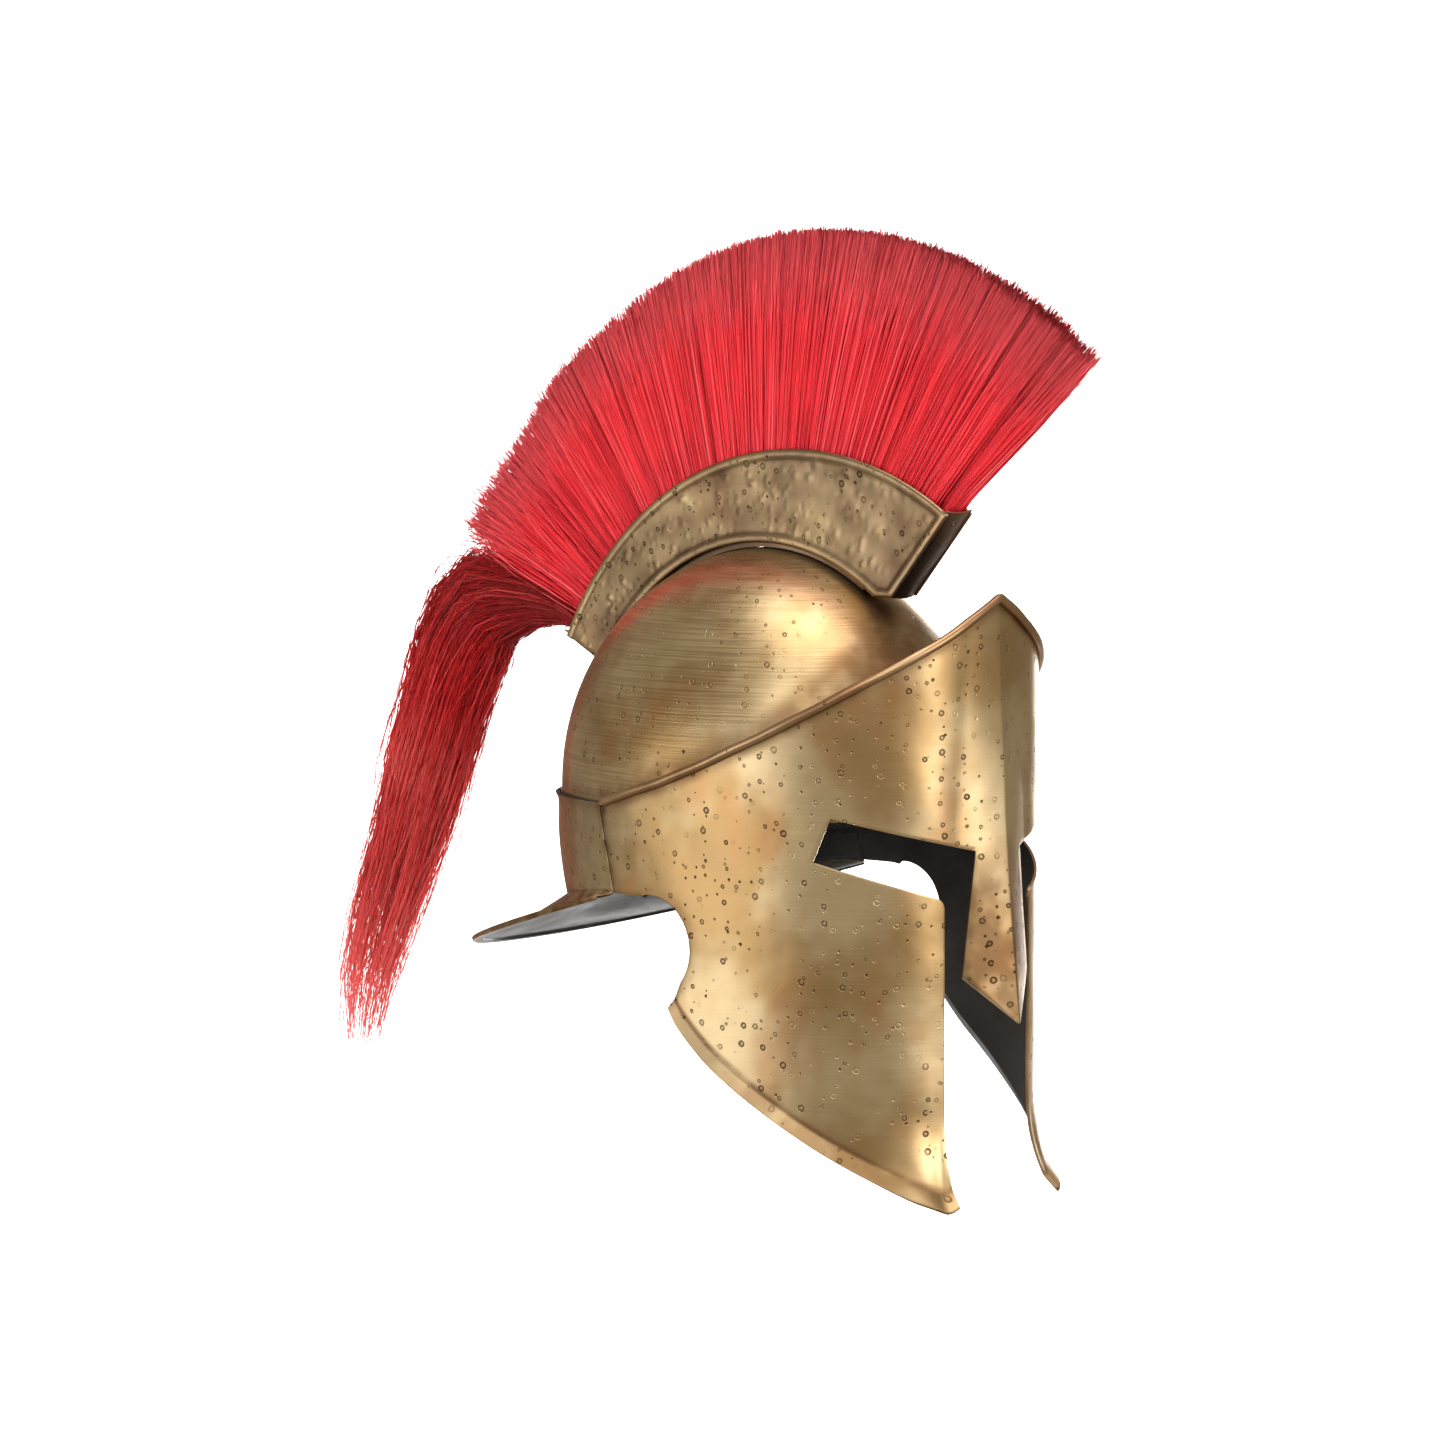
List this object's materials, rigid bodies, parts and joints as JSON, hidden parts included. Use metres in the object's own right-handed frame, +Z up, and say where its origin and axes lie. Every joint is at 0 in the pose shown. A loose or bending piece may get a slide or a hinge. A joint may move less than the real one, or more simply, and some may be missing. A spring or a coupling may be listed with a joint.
{
  "type": "greek helmet",
  "caption": "Closed Greek helmet of brassed sheet steel with eye slots, a nasal, long cheek plates and a flared neck guard, under a tall red hair crest with a tail falling behind.",
  "frame": {"origin": "the seat: the point inside the top of the skull cap that rests on the top of the wearer's head", "axes": "+Z is up, -Y is the way the face looks, +X is the wearer's left"},
  "size_m": [0.206, 0.5317, 0.4876],
  "materials": {
    "helmet_brass": "antiqued brushed brass plate with pits",
    "holder_brass": "hammered antique brass plate",
    "dark_brass": "dark aged brass",
    "brush_hair": "bright red upright hair",
    "tail_hair": "deep red loose hair"
  },
  "bodies": {
    "root": {"skull_cap": "helmet_brass", "face_plate": "helmet_brass", "brow_bead": "helmet_brass", "nape_band": "helmet_brass", "neck_guard": "helmet_brass", "crest_saddle": "dark_brass", "crest_holder_floor": "dark_brass", "crest_holder_left": "holder_brass", "crest_holder_right": "holder_brass", "crest_holder_front": "dark_brass", "crest_holder_rear": "dark_brass", "crest_brush_front": "brush_hair", "crest_brush_middle": "brush_hair", "crest_brush_rear": "brush_hair", "crest_tail": "tail_hair"}
  },
  "joints": []
}
